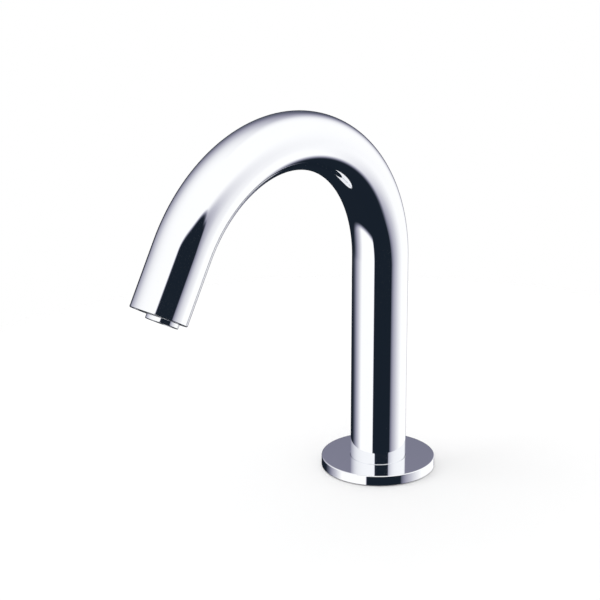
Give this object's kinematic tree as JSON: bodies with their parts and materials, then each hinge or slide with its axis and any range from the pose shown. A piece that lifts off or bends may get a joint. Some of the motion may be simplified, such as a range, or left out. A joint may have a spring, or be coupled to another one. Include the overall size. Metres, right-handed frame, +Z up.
{
  "type": "sensor tap",
  "caption": "Deck-mounted hands-free basin tap: gooseneck tube on a round flange, sensor and aerator in the tip, threaded shank with clamp nut below the deck.",
  "frame": {"origin": "centre of the deck gasket's lower face, on the column's axis", "axes": "+Z up the column, -Y from the column towards the outlet, +X completes a right-handed frame"},
  "size_m": [0.0576, 0.1949, 0.262],
  "materials": {
    "chrome": "polished chrome plate on brass",
    "brass": "turned brass, not plated",
    "steel": "stamped stainless steel",
    "black_rubber": "moulded rubber, matte",
    "plug_plastic": "glass-filled plastic, fine grain",
    "sensor_black": "black moulded plastic",
    "dark_window": "very dark red, polished",
    "resin": "cast resin",
    "circuit_board": "solder mask on laminate",
    "clear_diode": "clear moulded epoxy",
    "dark_diode": "tinted moulded epoxy",
    "natural_plastic": "unpigmented tube, slightly milky",
    "white_plastic": "moulded acetal",
    "screen_grey": "moulded acetal, grey",
    "cable_jacket": "smooth cable jacket",
    "contact": "plated contact"
  },
  "bodies": {
    "tap": {"spout_tube": "chrome", "base_flange": "chrome", "base_gasket": "black_rubber", "flange_o_ring": "black_rubber", "shank": "brass", "inlet_plug": "brass", "inlet_tube_seal": "black_rubber", "cable_socket": "sensor_black", "socket_pins": "contact", "water_tube": "natural_plastic", "sensor_cable": "cable_jacket", "nose_plug": "plug_plastic", "nose_o_ring": "black_rubber", "nose_tube_seal": "black_rubber", "nose_screw": "steel", "cable_grommet": "black_rubber", "sensor_window": "dark_window", "sensor_case": "sensor_black", "sensor_resin": "resin", "sensor_board": "circuit_board", "infrared_emitter": "clear_diode", "infrared_receiver": "dark_diode", "light_baffle": "sensor_black"},
    "clamp_rings": {"clamp_gasket": "black_rubber", "clamp_washer": "steel"},
    "nut": {"mounting_nut": "brass"},
    "aerator_core": {"aerator_gasket": "black_rubber", "aerator_filter": "white_plastic", "flow_regulator": "white_plastic", "aerator_insert": "white_plastic", "aerator_screen": "screen_grey"},
    "nozzle": {"aerator_nozzle": "chrome"}
  },
  "joints": [
    {"name": "clamp_travel", "type": "slide", "parent": "tap", "child": "clamp_rings", "axis": [0, 0, 1], "range_m": [-0.024, 0.018]},
    {"name": "nut_spin", "type": "hinge", "parent": "clamp_rings", "child": "nut", "pos_m": [0, 0, -0.0295], "axis": [0, 0, 1], "range_deg": [-5760, 4320]},
    {"name": "aerator_travel", "type": "slide", "parent": "tap", "child": "aerator_core", "axis": [0, -0.5, -0.866], "range_m": [0, 0.006]},
    {"name": "aerator_spin", "type": "hinge", "parent": "aerator_core", "child": "nozzle", "pos_m": [0, -0.15105, 0.11954], "axis": [0, -0.5, -0.866], "range_deg": [0, 2160]}
  ],
  "couplings": [
    {"joint": "clamp_travel", "follows": "nut_spin", "m_per_rad": 0.00023873},
    {"joint": "aerator_travel", "follows": "aerator_spin", "m_per_rad": 0.00015915}
  ]
}
